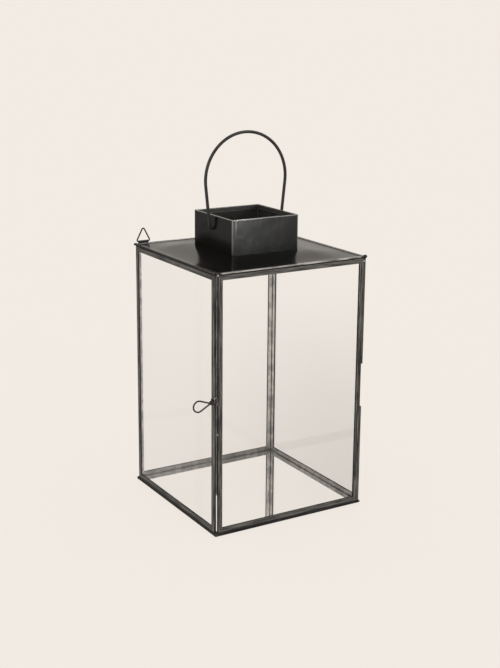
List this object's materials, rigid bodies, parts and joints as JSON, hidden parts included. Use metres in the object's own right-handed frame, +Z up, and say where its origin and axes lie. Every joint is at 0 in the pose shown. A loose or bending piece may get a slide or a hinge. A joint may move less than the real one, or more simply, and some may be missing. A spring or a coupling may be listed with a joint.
{
  "type": "candle lantern",
  "caption": "Square glass candle lantern with folded black metal edging, hinged glass door, mirror floor, open chimney collar, wire bail and hanging rings.",
  "frame": {"origin": "middle of the underside, on the surface that the lantern stands on", "axes": "+X to the right along the front, +Y to the back, +Z up; the door is the left side"},
  "size_m": [0.1877, 0.165, 0.3671],
  "materials": {
    "edging": "satin black over folded steel channel, worn grey on the inside",
    "black_sheet": "satin black",
    "black_wire": "satin black",
    "bare_wire": "worn to bare metal",
    "clear_glass": "clear window glass",
    "mirror": "silvered glass"
  },
  "bodies": {
    "lantern": {"front_rail_bottom": "edging", "front_rail_top": "edging", "front_stile_left": "edging", "front_stile_right": "edging", "front_pane": "clear_glass", "back_rail_bottom": "edging", "back_rail_top": "edging", "back_stile_left": "edging", "back_stile_right": "edging", "back_pane": "clear_glass", "right_rail_bottom": "edging", "right_rail_top": "edging", "right_stile_front": "edging", "right_stile_back": "edging", "right_pane": "clear_glass", "corner_strip_front_lower": "edging", "corner_strip_front_upper": "edging", "corner_strip_back": "edging", "base_strip_front": "edging", "base_strip_back": "edging", "base_strip_left": "edging", "base_strip_right": "edging", "base_cover": "black_sheet", "floor_backing": "black_sheet", "mirror_floor": "mirror", "rim_strip_front": "edging", "rim_strip_back": "edging", "rim_strip_left": "edging", "rim_strip_right": "edging", "top_plate": "black_sheet", "chimney_collar": "black_sheet", "collar_seam": "black_sheet", "latch_catch": "bare_wire", "ring_sleeve_left": "black_wire", "ring_sleeve_right": "black_wire"},
    "door": {"door_rail_bottom": "edging", "door_rail_top": "edging", "door_stile_hinge": "edging", "door_stile_latch": "edging", "door_pane": "clear_glass", "hinge_rod": "black_wire", "latch_bracket": "black_sheet", "latch_pin": "black_wire"},
    "latch": {"latch_lever": "black_wire"},
    "bail": {"bail_handle": "black_wire"},
    "ring_left": {"hanging_ring_left": "black_wire"},
    "ring_right": {"hanging_ring_right": "black_wire"}
  },
  "joints": [
    {"name": "door_swing", "type": "hinge", "parent": "lantern", "child": "door", "pos_m": [-0.0809, 0.08005, 0.127], "axis": [0, 0, -1], "range_deg": [0, 150]},
    {"name": "latch_turn", "type": "hinge", "parent": "door", "child": "latch", "pos_m": [-0.0855, -0.081, 0.1317], "axis": [0, 1, 0], "range_deg": [0, 60]},
    {"name": "bail_swing", "type": "hinge", "parent": "lantern", "child": "bail", "pos_m": [-0.0017, 0.001, 0.2755], "axis": [1, 0, 0], "range_deg": [-100, 100]},
    {"name": "ring_left_swing", "type": "hinge", "parent": "lantern", "child": "ring_left", "pos_m": [-0.0732, 0.0808, 0.253], "axis": [1, 0, 0], "range_deg": [-95, 80]},
    {"name": "ring_right_swing", "type": "hinge", "parent": "lantern", "child": "ring_right", "pos_m": [0.0732, 0.0808, 0.253], "axis": [1, 0, 0], "range_deg": [-95, 80]}
  ]
}
